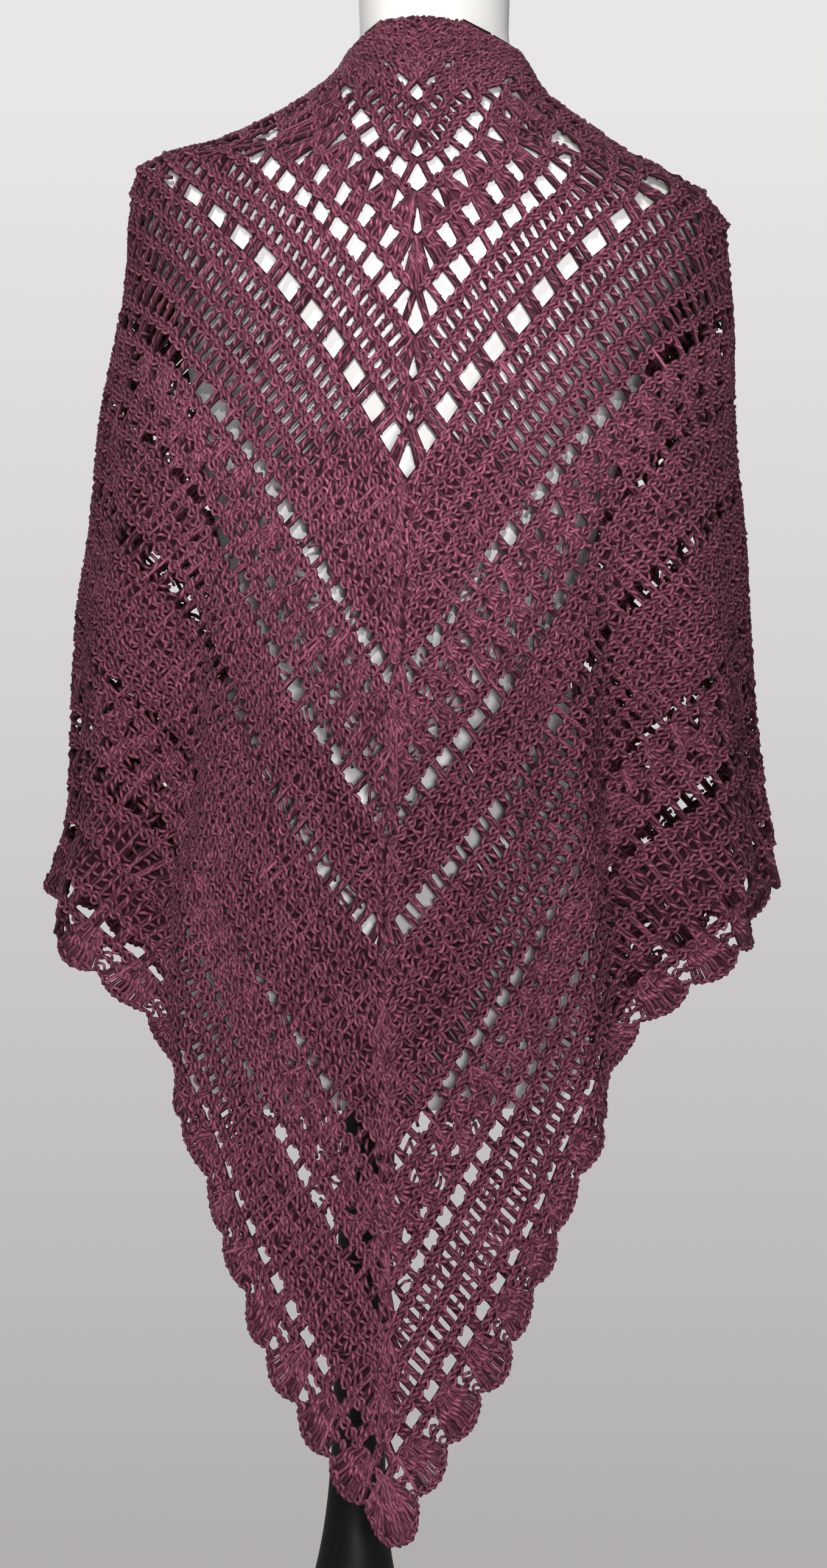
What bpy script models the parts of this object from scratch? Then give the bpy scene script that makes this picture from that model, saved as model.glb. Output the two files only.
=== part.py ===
"""A triangular crochet shawl worn open over a limbless dress form on a stand.

Metres, +Z up. The origin is the middle of the stand's foot, on the floor. The shawl's back, with its
point, faces -Y, and the wearer's left shoulder is at -X.

The cloth is described the way it is worked. SECTIONS are level ovals round the form, one for each drop
below the neck edge. ROWS say how far each worked row hangs at named places round the oval, so a row is
one line over the cloth, from the spine stitch at the middle back to the open front edge. A place round
the oval is a turn: 0 at the middle back, 0.5 at the side, 1 at the middle front. Each half of the cloth
is an open net between the rows, with the openwork holes left out of it. The net is extruded as one
region, and its copy moves in by the wall along the curved surface's own normals, so that both halves,
and the edging, meet face to face at their seams.
"""

import math

import bmesh
import bpy
import numpy as np
from mathutils import Matrix, Vector
from mathutils.bvhtree import BVHTree

# Heights and thicknesses
NECK_EDGE_Z = 1.363  # the shawl's edge at the middle back of the neck
WALL = 0.003  # the crochet's thickness
SEAT = 0.0031  # the form lies this far inside the wall, before the flats of both come closer
SEAM = 0.00015  # each half stops this far from the spine
EDGING_GAP = 0.0012  # between the last arches and the shell edging, along the cloth
JOINT_GAP = 0.0003  # between the stand's pieces

# Gauge of the crochet
STITCH = 0.0091
ROW_HEIGHT = 0.020
ROW_COUNT = 36.5  # with the shell edging, which is one and a half rows deep
ARCH_ROW = 35
SCALLOP = 5 * STITCH  # one shell of the edging
SCALLOP_DEPTH = 0.42  # of a row, from a shell's top to the notch beside it

# Stand and form
LEAN = math.radians(1.8)  # the pole leans to the right
POLE_RADIUS = 0.020
STAND_X = 0.0145  # the foot stands right of the middle between the side hems
POLE_BOTTOM, FORM_BOTTOM = 0.330, 0.563
NECK_TOP_DROP = -0.057
NECK_RADIUS = 0.0562
SIDES = 40  # facets round the form

# Level ovals of the cloth: how far below the neck edge, the two side edges and the spine across,
# and how far the oval reaches to the back and to the front
SECTIONS = (
    # drop, left, right, spine, back, front
    (0.0000, 0.0192, 0.1414, 0.0690, 0.061, 0.061),
    (0.0150, 0.0187, 0.1423, 0.0680, 0.064, 0.062),
    (0.0300, 0.0116, 0.1497, 0.0678, 0.072, 0.066),
    (0.0530, -0.0152, 0.1655, 0.0678, 0.084, 0.076),
    (0.0660, -0.0375, 0.1833, 0.0678, 0.091, 0.084),
    (0.0770, -0.0598, 0.1989, 0.0678, 0.095, 0.089),
    (0.0880, -0.0865, 0.2123, 0.0678, 0.099, 0.094),
    (0.0995, -0.1311, 0.2346, 0.0678, 0.104, 0.099),
    (0.1150, -0.1423, 0.2658, 0.0678, 0.109, 0.105),
    (0.1370, -0.1458, 0.2948, 0.0678, 0.114, 0.113),
    (0.1800, -0.1473, 0.2993, 0.0678, 0.121, 0.124),
    (0.2250, -0.1534, 0.3033, 0.0670, 0.126, 0.133),
    (0.3000, -0.1664, 0.3028, 0.0625, 0.130, 0.140),
    (0.3690, -0.1748, 0.3082, 0.0590, 0.130, 0.138),
    (0.4450, -0.1869, 0.3149, 0.0560, 0.128, 0.135),
    (0.5200, -0.1900, 0.3202, 0.0530, 0.127, 0.132),
    (0.5880, -0.1936, 0.3296, 0.0480, 0.128, 0.130),
    (0.6400, -0.2105, 0.3349, 0.0455, 0.130, 0.130),
    (0.8000, -0.2183, 0.3372, 0.0460, 0.135, 0.130),
    (0.9600, -0.2200, 0.3385, 0.0465, 0.138, 0.130),
    (1.0500, -0.2200, 0.3390, 0.0500, 0.139, 0.130),
    (1.1500, -0.2203, 0.3397, 0.0610, 0.140, 0.130),
)

# Where each row hangs: its drop at nine turns from the spine to the front, and the turn where it ends
ROW_TURNS = (0.0, 0.1, 0.2, 0.3, 0.4, 0.5, 0.6, 0.7, 0.85)
ROWS = (
    # row, spine, t10, t20, t30, t40, side, t60, t70, t85, end turn
    (0.0, 0.001, 0.003, 0.006, 0.011, 0.016, 0.021, 0.026, 0.034, 0.050, 0.16),
    (4.0, 0.068, 0.041, 0.030, 0.027, 0.026, 0.028, 0.032, 0.042, 0.062, 0.64),
    (7.0, 0.136, 0.088, 0.061, 0.048, 0.043, 0.042, 0.048, 0.066, 0.105, 0.72),
    (10.0, 0.242, 0.163, 0.114, 0.090, 0.080, 0.077, 0.085, 0.112, 0.170, 0.77),
    (13.0, 0.347, 0.245, 0.177, 0.135, 0.112, 0.103, 0.118, 0.160, 0.240, 0.80),
    (18.0, 0.508, 0.398, 0.308, 0.256, 0.234, 0.226, 0.238, 0.280, 0.370, 0.82),
    (21.0, 0.609, 0.505, 0.392, 0.322, 0.296, 0.286, 0.297, 0.340, 0.440, 0.83),
    (24.0, 0.695, 0.590, 0.482, 0.402, 0.367, 0.352, 0.358, 0.400, 0.510, 0.84),
    (29.0, 0.850, 0.722, 0.600, 0.502, 0.463, 0.452, 0.462, 0.505, 0.620, 0.85),
    (32.0, 0.955, 0.812, 0.672, 0.578, 0.545, 0.528, 0.530, 0.572, 0.695, 0.855),
    (35.0, 1.074, 0.935, 0.772, 0.672, 0.632, 0.606, 0.600, 0.638, 0.760, 0.86),
    (36.5, 1.123, 0.985, 0.805, 0.702, 0.668, 0.638, 0.630, 0.668, 0.788, 0.86),
)

# Folds that hang from the shoulders: their turn where they start and at the hem, half their width as a
# turn, how far they go in (negative) or out, and the drops between which they deepen
FOLDS = (
    # side, turn at start, turn at hem, half width, reach, start drop, full drop
    (-1, 0.150, 0.162, 0.030, -0.009, 0.30, 0.55),
    (-1, 0.215, 0.240, 0.042, -0.030, 0.26, 0.58),
    (-1, 0.300, 0.320, 0.060, 0.012, 0.25, 0.50),
    (-1, 0.420, 0.430, 0.045, -0.012, 0.35, 0.60),
    (-1, 0.580, 0.575, 0.045, -0.014, 0.25, 0.55),
    (-1, 0.680, 0.670, 0.045, 0.014, 0.25, 0.55),
    (-1, 0.770, 0.765, 0.040, -0.012, 0.30, 0.60),
    (1, 0.140, 0.150, 0.028, -0.008, 0.30, 0.55),
    (1, 0.215, 0.232, 0.040, -0.034, 0.26, 0.58),
    (1, 0.300, 0.315, 0.060, 0.014, 0.25, 0.50),
    (1, 0.430, 0.425, 0.045, -0.010, 0.35, 0.60),
    (1, 0.590, 0.585, 0.045, -0.014, 0.25, 0.55),
    (1, 0.685, 0.680, 0.045, 0.014, 0.25, 0.55),
    (1, 0.770, 0.765, 0.040, -0.012, 0.30, 0.60),
)

# The rows that the solid net follows, and how far apart its lines are there; the band of a holed row
# lies between the row before it and the row itself
NET = (
    # row, spacing along it
    (0, 0.018),
    (1, 0.019),
    (2, 0.019),
    (3, 0.020),
    (4, 0.020),
    (5, 0.020),
    (6, 0.020),
    (7, 0.020),
    (8, 0.020),
    (9, 0.020),
    (10, 0.020),
    (11, 0.022),
    (12, 3 * STITCH),
    (13, 3 * STITCH),
    (14, 0.030),
    (16, 0.034),
    (18.3, 0.034),
    (20.6, 0.034),
    (23, 3 * STITCH),
    (24, 3 * STITCH),
    (26.4, 0.034),
    (28.7, 0.034),
    (31, 2 * STITCH),
    (32, 2 * STITCH),
    (34, 2.5 * STITCH),
    (35, 2.5 * STITCH),
)
HOLES = (
    # row, the hole's width and height as shares of its cell, the most on each half
    (13, 0.50, 0.74, 60),
    (24, 0.50, 0.74, 60),
    (35, 0.58, 0.74, 60),
    (32, 0.60, 0.60, 40),
)
HOLES_ON_A_HALF = 150

# The dress form below the shoulders, where it leaves the cloth
FORM = (
    # drop, half width, middle, back, front
    (0.160, 0.2080, 0.0730, 0.112, 0.116),
    (0.200, 0.1860, 0.0710, 0.112, 0.119),
    (0.260, 0.1680, 0.0670, 0.110, 0.123),
    (0.350, 0.1480, 0.0620, 0.100, 0.110),
    (0.450, 0.1240, 0.0560, 0.085, 0.086),
    (0.550, 0.1380, 0.0510, 0.099, 0.092),
    (0.650, 0.1560, 0.0460, 0.112, 0.100),
    (0.720, 0.1580, 0.0420, 0.113, 0.100),
    (0.775, 0.1500, 0.0390, 0.106, 0.094),
    (0.793, 0.1420, 0.0380, 0.099, 0.088),
    (0.800, 0.1300, 0.0380, 0.090, 0.080),
)
FORM_HEART = Vector((0.065, 0, 1.1))  # a point inside the form, below both shoulders
# The drops of the form's rings: first the shoulders, which follow the cloth, then its own sections
FORM_DROPS = (0.004, 0.012, 0.020, 0.028, 0.038, 0.048, 0.058, 0.067, 0.075, 0.082)
FORM_DROPS += (0.087, 0.0905, 0.094, 0.0975, 0.101, 0.106, 0.112, 0.118)
FORM_LOW_DROPS = (0.127, 0.14, 0.16, 0.18, 0.21, 0.25, 0.3, 0.36, 0.42, 0.48, 0.55, 0.62, 0.69)
FORM_LOW_DROPS += (0.75, 0.785, 0.8)

# Colours and finish: base colour, roughness, metallic
YARN = ("shawl_yarn", (0.165, 0.070, 0.095), 0.85, 0.0)
COVER = ("form_cover", (0.800, 0.790, 0.775), 0.80, 0.0)
BLACK = ("stand_black", (0.012, 0.012, 0.013), 0.35, 0.0)


def slopes(x, y):
    """Slopes at the points of a smooth curve that never swings past them.

    Inside, each slope is the weighted harmonic mean of the two straight slopes beside it, or nought
    where they point opposite ways.
    """
    step = np.diff(x)[:, None]
    straight = np.diff(y, axis=0) / step
    before, after = 2 * step[1:] + step[:-1], step[1:] + 2 * step[:-1]
    alike = straight[:-1] * straight[1:] > 0
    safe = np.where(alike[None], (straight[:-1], straight[1:]), 1.0)
    slope = np.zeros_like(y)
    slope[1:-1] = np.where(alike, (before + after) / (before / safe[0] + after / safe[1]), 0)
    slope[0], slope[-1] = straight[0], straight[-1]
    return slope


def smooth(x, y, at):
    """The columns of y at the places `at`, on cubics through the points (x, y)."""
    x, y, at = np.asarray(x, float), np.asarray(y, float), np.clip(at, x[0], x[-1])
    slope = slopes(x, y)
    i = np.clip(np.searchsorted(x, at, side="right") - 1, 0, len(x) - 2)
    step = (x[i + 1] - x[i])[..., None]
    t = (at - x[i])[..., None] / step
    start, end = y[i], y[i + 1]
    rise = slope[i] * step * t * (1 - t) ** 2 - slope[i + 1] * step * t * t * (1 - t)
    return start + (end - start) * t * t * (3 - 2 * t) + rise


SECTION_TABLE, ROW_TABLE = np.array(SECTIONS), np.array(ROWS)


def fold_reach(side, turn, drop):
    """How far the folds move the cloth out at these turns and drops: the sum of round bumps."""
    out = np.zeros(np.broadcast(turn, drop).shape)
    for fold_side, first, last, width, reach, start, full in FOLDS:
        if fold_side != side:
            continue
        deep = np.clip((drop - start) / (full - start), 0, 1)
        middle = first + (last - first) * deep
        out += reach * deep * deep * (3 - 2 * deep) * np.exp(-(((turn - middle) / width) ** 2))
    return out


def cloth(side, turn, drop):
    """Points on the cloth's outer face; side is -1 on the left and 1 on the right."""
    left, right, spine, back, front = np.moveaxis(
        smooth(SECTION_TABLE[:, 0], SECTION_TABLE[:, 1:], drop), -1, 0
    )
    angle = np.pi * turn
    reach = fold_reach(side, turn, drop)
    middle, half = (left + right) / 2, (right - left) / 2
    aside = (spine - middle) * np.where(turn < 0.5, np.cos(angle) ** 2, 0)
    depth = np.where(turn < 0.5, back, front)
    x = middle + aside + side * (half + reach) * np.sin(angle)
    y = -(depth + reach) * np.cos(angle)
    return np.stack([x, y, NECK_EDGE_Z - drop], axis=-1)


def inward(side, turn, drop, step=1e-4):
    """Unit normals of the cloth that point at the form, from its slopes round and down the ovals."""
    point = cloth(side, turn, drop)
    along = cloth(side, turn + step, drop) - point
    along[turn == 0] = (side * step, 0, 0)
    down = cloth(side, turn, drop + step) - point
    normal = side * np.cross(along, down)
    return normal / np.linalg.norm(normal, axis=-1, keepdims=True)


def row_line(side, row, steps=240):
    """One worked row from the spine to the front edge: close points, normals, and length up to each."""
    at = smooth(ROW_TABLE[:, 0], ROW_TABLE[:, 1:], np.array([float(row)]))[0]
    turn = np.linspace(0, at[-1], steps)
    drop = smooth(ROW_TURNS, at[:-1, None], turn)[:, 0]
    points = cloth(side, turn, drop)
    points[0, 0] += side * SEAM
    length = np.concatenate([[0], np.cumsum(np.linalg.norm(np.diff(points, axis=0), axis=1))])
    return points, inward(side, turn, drop), length


def row_length(side, row):
    """The length of one half of a row."""
    return row_line(side, row)[2][-1]


def add_points(mesh, side, row, from_end):
    """Adds a row's points at these distances from its front end, each with its inward normal."""
    points, normals, length = row_line(side, row)
    at = np.clip(length[-1] - np.asarray(from_end), 0, length[-1])
    layer = mesh.verts.layers.float_vector["inward"]
    made = []
    for place in at:
        corner = mesh.verts.new([np.interp(place, length, points[:, i]) for i in range(3)])
        corner[layer] = [np.interp(place, length, normals[:, i]) for i in range(3)]
        made.append(corner)
    return made


def net_row(side, row, spacing):
    """Distances from the front end to the net's points on a row; the last one is at the spine."""
    length = row_length(side, row)
    full = max(1, int(length / spacing - 0.45))
    return np.append(np.arange(full + 1) * spacing, length)


def zip_faces(mesh, upper, lower):
    """Fills the band between two rows of points with triangles, the shorter diagonal first."""
    i = j = 0
    while i < len(upper) - 1 or j < len(lower) - 1:
        across = down = math.inf
        if i < len(upper) - 1:
            across = (upper[i + 1].co - lower[j].co).length
        if j < len(lower) - 1:
            down = (upper[i].co - lower[j + 1].co).length
        if across <= down:
            mesh.faces.new((upper[i], lower[j], upper[i + 1]))
            i += 1
        else:
            mesh.faces.new((upper[i], lower[j], lower[j + 1]))
            j += 1


def holed_cell(mesh, corners, wide, high):
    """A cell of the net with a four-cornered hole in its middle; corners run round the cell."""
    layer = mesh.verts.layers.float_vector["inward"]
    u0, v0 = (1 - wide) / 2, (1 - high) / 2
    hole = []
    for u, v in ((u0, v0), (u0, 1 - v0), (1 - u0, 1 - v0), (1 - u0, v0)):
        shares = ((1 - u) * (1 - v), (1 - u) * v, u * v, u * (1 - v))
        corner = mesh.verts.new(sum((c.co * share for c, share in zip(corners, shares)), Vector()))
        corner[layer] = sum((c[layer] * share for c, share in zip(corners, shares)), Vector())
        hole.append(corner)
    for a in range(4):
        b = (a + 1) % 4
        mesh.faces.new((corners[a], corners[b], hole[b], hole[a]))


def add_solid(name, mesh, finish, collection):
    """Makes an object from a bmesh, with its own material."""
    label, colour, roughness, metallic = finish
    data = bpy.data.meshes.new(name)
    mesh.to_mesh(data)
    mesh.free()
    piece = bpy.data.objects.new(name, data)
    collection.objects.link(piece)
    material = bpy.data.materials.new(f"{label}_{name}")
    material.use_nodes = True
    shader = material.node_tree.nodes["Principled BSDF"]
    shader.inputs["Base Color"].default_value = (*colour, 1)
    shader.inputs["Roughness"].default_value = roughness
    shader.inputs["Metallic"].default_value = metallic
    data.materials.append(material)
    return piece


def new_net():
    """An empty net whose points will each carry an inward normal."""
    mesh = bmesh.new()
    mesh.verts.layers.float_vector.new("inward")
    return mesh


def add_cloth(name, mesh, collection):
    """Thickens an open net into a wall: the region is extruded, and its copy moves in by the wall."""
    made = bmesh.ops.extrude_face_region(mesh, geom=mesh.faces[:], use_keep_orig=True)
    layer = mesh.verts.layers.float_vector["inward"]
    for corner in made["geom"]:
        if isinstance(corner, bmesh.types.BMVert):
            corner.co += corner[layer].normalized() * WALL
    bmesh.ops.recalc_face_normals(mesh, faces=mesh.faces)
    return add_solid(name, mesh, YARN, collection)


def body_half(side, collection):
    """The worked rows of one half, from the neck edge to the arches, and the net that it stands on."""
    mesh = new_net()
    spacings = dict(NET)
    cuts, left_to_cut = {}, HOLES_ON_A_HALF
    for row, _, _, most in HOLES:
        cells = len(net_row(side, row - 1, spacings[row])) - 2
        cuts[row] = min(most, left_to_cut, cells)
        left_to_cut -= cuts[row]
    sizes = {row: (wide, high) for row, wide, high, _ in HOLES}
    upper = None
    for row, spacing in NET:
        lower = add_points(mesh, side, row, net_row(side, row, spacing))
        if upper is not None:
            shared = len(upper) - 2 if row in cuts else 0
            for i in range(shared):
                corners = (upper[i], lower[i], lower[i + 1], upper[i + 1])
                if i >= shared - cuts[row]:
                    holed_cell(mesh, corners, *sizes[row])
                else:
                    mesh.faces.new(corners)
            zip_faces(mesh, upper[shared:], lower[shared:])
        upper = lower
    name = "shawl_body_left" if side < 0 else "shawl_body_right"
    mesh.normal_update()
    net = BVHTree.FromBMesh(mesh)
    add_cloth(name, mesh, collection)
    return net


def edging_half(side, collection):
    """The shell edging of one half: a band whose lower edge is a row of round scallops."""
    mesh = new_net()
    top_row = ARCH_ROW + EDGING_GAP / ROW_HEIGHT
    upper = add_points(mesh, side, top_row, net_row(side, ARCH_ROW, dict(NET)[ARCH_ROW]))
    length = row_length(side, ROW_COUNT)
    spacing = SCALLOP / 4
    low_at = np.append(np.arange(0, length - spacing / 2, spacing), length)
    notch = SCALLOP_DEPTH * (1 - np.abs(np.sin(np.pi * low_at / SCALLOP)))
    notch[-1] = 0
    lower = []
    for distance, share in zip(low_at, notch):
        row = ROW_COUNT - share
        lower += add_points(mesh, side, row, [distance / length * row_length(side, row)])
    zip_faces(mesh, upper, lower)
    name = "shell_edging_left" if side < 0 else "shell_edging_right"
    add_cloth(name, mesh, collection)


def form_ring(turns, drop):
    """One level ring of the dress form: the cloth's own section, in by the wall and the seat."""
    ring = []
    for turn in turns:
        side, at = (-1, np.array([-turn])) if turn < 0 else (1, np.array([turn]))
        here = np.array([drop])
        ring.append((cloth(side, at, here) + inward(side, at, here) * (WALL + SEAT))[0])
    return ring


def tuck_under(ring, nets):
    """Moves a ring's points in until each lies the wall and the seat below the cloth's flat faces."""
    tucked = []
    for point in map(Vector, ring):
        for _ in range(3):
            for net in nets:
                near, normal, _, distance = net.find_nearest(point, 0.03)
                if near is None:
                    continue
                if normal.dot(near - FORM_HEART) < 0:
                    normal = -normal
                above = (point - near).dot(normal)
                if distance < abs(above) + 0.001 and above > -(WALL + SEAT):
                    point -= normal * (above + WALL + SEAT)
        tucked.append(point)
    return tucked


def dress_form(collection, nets):
    """The limbless form: a plain neck, shoulders that carry the cloth, and a torso down to the hips."""
    mesh = bmesh.new()
    places = np.linspace(-1, 1, SIDES + 1)[:-1]
    turns = places * np.pi
    rings = []
    middle = sum(SECTIONS[0][1:3]) / 2
    for drop, share in ((NECK_TOP_DROP, 0.86), (NECK_TOP_DROP + 0.005, 1), (NECK_TOP_DROP / 2, 1)):
        round_it = NECK_RADIUS * share * np.stack([np.sin(turns), -np.cos(turns)], axis=-1)
        rings.append([(middle + x, y, NECK_EDGE_Z - drop) for x, y in round_it])
    for drop in FORM_DROPS:
        rings.append(tuck_under(form_ring(places, drop), nets))
    last = np.array(rings[-1])
    width = (last[:, 0].max() - last[:, 0].min()) / 2
    centre = (last[:, 0].max() + last[:, 0].min()) / 2
    own = np.array([(FORM_DROPS[-1], width, centre, -last[:, 1].min(), last[:, 1].max()), *FORM])
    for drop in FORM_LOW_DROPS:
        half, centre, back, front = smooth(own[:, 0], own[:, 1:], np.array([drop]))[0]
        depth = np.where(np.abs(turns) < np.pi / 2, back, front)
        x, y = centre + half * np.sin(turns), -depth * np.cos(turns)
        ring = [(a, b, NECK_EDGE_Z - drop) for a, b in zip(x, y)]
        rings.append(tuck_under(ring, nets) if drop < 0.2 else ring)
    loops = [[mesh.verts.new(p) for p in ring] for ring in rings]
    for high, low in zip(loops, loops[1:]):
        for i in range(SIDES):
            j = (i + 1) % SIDES
            mesh.faces.new((high[i], low[i], low[j], high[j]))
    mesh.faces.new(loops[0])
    mesh.faces.new(reversed(loops[-1]))
    bmesh.ops.recalc_face_normals(mesh, faces=mesh.faces)
    return add_solid("form_torso", mesh, COVER, collection)


def turned(name, profile, facets, finish, collection):
    """A turned piece: its profile, spun by a Screw modifier, with closed ends and the stand's lean."""
    mesh = bmesh.new()
    points = [mesh.verts.new((radius, 0, height)) for radius, height in profile]
    for a, b in zip(points, points[1:]):
        mesh.edges.new((a, b))
    piece = add_solid(name, mesh, finish, collection)
    spin = piece.modifiers.new("turn", "SCREW")
    spin.steps = spin.render_steps = facets
    spin.use_merge_vertices = True
    spin.merge_threshold = 0.00005
    lean = Matrix.Translation((STAND_X, 0, 0)) @ Matrix.Shear("XY", 4, (math.tan(LEAN), 0))
    solid = bpy.data.meshes.new_from_object(piece.evaluated_get(bpy.context.evaluated_depsgraph_get()))
    piece.modifiers.clear()
    piece.data = solid
    solid.name = name
    solid.transform(lean)
    return piece


def stand_pole(collection):
    """The pole, from the foot's socket to the form's underside."""
    bottom, top = POLE_BOTTOM + JOINT_GAP, FORM_BOTTOM - JOINT_GAP
    profile = ((0, top), (POLE_RADIUS, top), (POLE_RADIUS, bottom), (0, bottom))
    return turned("stand_pole", profile, 24, BLACK, collection)


def stand_foot(collection):
    """The trumpet foot: a flat round plate that sweeps up into a socket for the pole."""
    profile = [(0, POLE_BOTTOM), (POLE_RADIUS, POLE_BOTTOM)]
    for step in range(1, 11):
        share = step / 10
        profile.append((POLE_RADIUS + 0.135 * share**2.6, POLE_BOTTOM - 0.310 * share))
    profile += [(0.160, 0.012), (0.160, 0.0), (0, 0.0)]
    return turned("stand_foot", profile, 36, BLACK, collection)


def main():
    for old in list(bpy.data.objects):
        bpy.data.objects.remove(old, do_unlink=True)
    collection = bpy.data.collections.new("crochet_shawl_on_dress_form")
    bpy.context.scene.collection.children.link(collection)
    nets = [body_half(side, collection) for side in (-1, 1)]
    for side in (-1, 1):
        edging_half(side, collection)
    dress_form(collection, nets)
    stand_pole(collection)
    stand_foot(collection)


main()
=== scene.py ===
# %% [markdown]
# # A crochet shawl on a dress form
#
# The shawl is worked from the middle of its top edge in rows that grow at the spine, so every row
# is a wide V. This lesson rebuilds it stitch by stitch: first the surface that the worn cloth
# makes, then the rows as lines on it, then the yarn that follows those lines. All of it stands in
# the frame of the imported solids: metres, +Z up, and the shawl's back facing -Y.

import math

import bpy
import numpy as np
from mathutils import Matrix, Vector


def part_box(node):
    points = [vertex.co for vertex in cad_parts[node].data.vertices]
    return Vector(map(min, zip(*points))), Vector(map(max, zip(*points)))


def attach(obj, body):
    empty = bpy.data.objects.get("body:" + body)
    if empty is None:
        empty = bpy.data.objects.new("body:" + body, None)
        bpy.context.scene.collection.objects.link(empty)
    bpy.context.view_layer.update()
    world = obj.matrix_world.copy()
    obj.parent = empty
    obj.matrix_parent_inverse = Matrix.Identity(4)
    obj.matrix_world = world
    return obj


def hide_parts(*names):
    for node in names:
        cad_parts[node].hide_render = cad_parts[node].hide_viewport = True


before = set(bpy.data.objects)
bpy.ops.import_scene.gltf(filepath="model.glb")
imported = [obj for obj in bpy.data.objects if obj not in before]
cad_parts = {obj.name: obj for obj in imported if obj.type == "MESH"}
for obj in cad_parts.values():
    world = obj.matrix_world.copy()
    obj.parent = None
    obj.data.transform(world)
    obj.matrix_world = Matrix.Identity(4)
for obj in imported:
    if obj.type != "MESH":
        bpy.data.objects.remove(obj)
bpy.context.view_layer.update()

# %% [markdown]
# ## Sizes
#
# These are the sizes that a maker would know: how thick the yarn is, how wide a stitch comes out,
# and which kind of row is worked when. The places of the rows on the body come in two short
# tables further down. A row's number counts from the neck. The edging is no whole row further
# out, so its two lines have numbers between rows.

# %% Yarn, gauge and the order of the rows
YARN_RADIUS = 0.0016
PLY_LENGTH = 0.0085  # one turn of the yarn's plies
STITCH = 0.0091
NECK_EDGE_Z = 1.363  # the shawl's edge at the middle back of the neck
MIDDLE_OF_CLOTH = -0.0012  # the yarn's middle, inside the solids' outer face
LAST_ROW, ARCH_ROW, HEM_ROW = 34, 34.75, 36.5
RUFFLE = 0.004  # how far the hem's shells swing in and out

MESH_ROWS = (4, 7, 10, 18, 21, 29, 32)  # a post, then a space of one stitch
TALL_PAIRS = {13: 0.115, 24: 0.19}  # rows of paired posts: a post's place, as a share of the unit
TALL_ROWS = tuple(TALL_PAIRS)
ROW_SHIFTS = {11: 0.08, 12: 0.18, 22: 0.08, 23: 0.18}  # the rows above a tall row are shorter
FAN_ROWS = (8, 19, 30)  # five posts from one stitch
JOIN_ROWS = (9, 20, 31)  # groups of four over the joins of the fans
OPEN_ROWS = MESH_ROWS + TALL_ROWS + FAN_ROWS + JOIN_ROWS
SPINE_HOLE_ROWS = range(4, 14)  # these leave a pointed hole at the spine
BACK_ROWS = range(14, 29)  # these cross the middle of the back
MESH_UNIT, TALL_UNIT = 2 * STITCH, 3 * STITCH
FAN_UNIT, ARCH_UNIT, SHELL_UNIT = 2.6 * STITCH, 2.5 * STITCH, 5 * STITCH
SHELL_DEPTH = 0.36  # how far the notch between two shells goes in, as a share of the edging
print(LAST_ROW, "rows,", len(OPEN_ROWS), "of them open, and shells of", SHELL_UNIT, "m")

# %% [markdown]
# ## The surface of the worn cloth
#
# Cloth over shoulders could be simulated, but the photographed shawl hangs in known places, and a
# simulation would have to be coaxed into them. Here the surface is written down instead, as level
# ovals at each drop below the neck edge. A *turn* is the place round an oval: 0 at the middle
# back, 0.5 at the side, 1 at the middle front. Folds are round bumps added to the oval's reach.

# %% Level ovals, row places and folds
SECTIONS = np.array((
    # drop, left, right, spine, back, front
    (0.0000, 0.0192, 0.1414, 0.0690, 0.061, 0.061),
    (0.0150, 0.0187, 0.1423, 0.0680, 0.064, 0.062),
    (0.0300, 0.0116, 0.1497, 0.0678, 0.072, 0.066),
    (0.0530, -0.0152, 0.1655, 0.0678, 0.084, 0.076),
    (0.0660, -0.0375, 0.1833, 0.0678, 0.091, 0.084),
    (0.0770, -0.0598, 0.1989, 0.0678, 0.095, 0.089),
    (0.0880, -0.0865, 0.2123, 0.0678, 0.099, 0.094),
    (0.0995, -0.1311, 0.2346, 0.0678, 0.104, 0.099),
    (0.1150, -0.1423, 0.2658, 0.0678, 0.109, 0.105),
    (0.1370, -0.1458, 0.2948, 0.0678, 0.114, 0.113),
    (0.1800, -0.1473, 0.2993, 0.0678, 0.121, 0.124),
    (0.2250, -0.1534, 0.3033, 0.0670, 0.126, 0.133),
    (0.3000, -0.1664, 0.3028, 0.0625, 0.130, 0.140),
    (0.3690, -0.1748, 0.3082, 0.0590, 0.130, 0.138),
    (0.4450, -0.1869, 0.3149, 0.0560, 0.128, 0.135),
    (0.5200, -0.1900, 0.3202, 0.0530, 0.127, 0.132),
    (0.5880, -0.1936, 0.3296, 0.0480, 0.128, 0.130),
    (0.6400, -0.2105, 0.3349, 0.0455, 0.130, 0.130),
    (0.8000, -0.2183, 0.3372, 0.0460, 0.135, 0.130),
    (0.9600, -0.2200, 0.3385, 0.0450, 0.138, 0.130),
    (1.0500, -0.2200, 0.3390, 0.0435, 0.139, 0.130),
    (1.1500, -0.2203, 0.3397, 0.0640, 0.140, 0.130),
))
ROW_TURNS = np.array((0.0, 0.1, 0.2, 0.3, 0.4, 0.5, 0.6, 0.7, 0.85))
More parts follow.
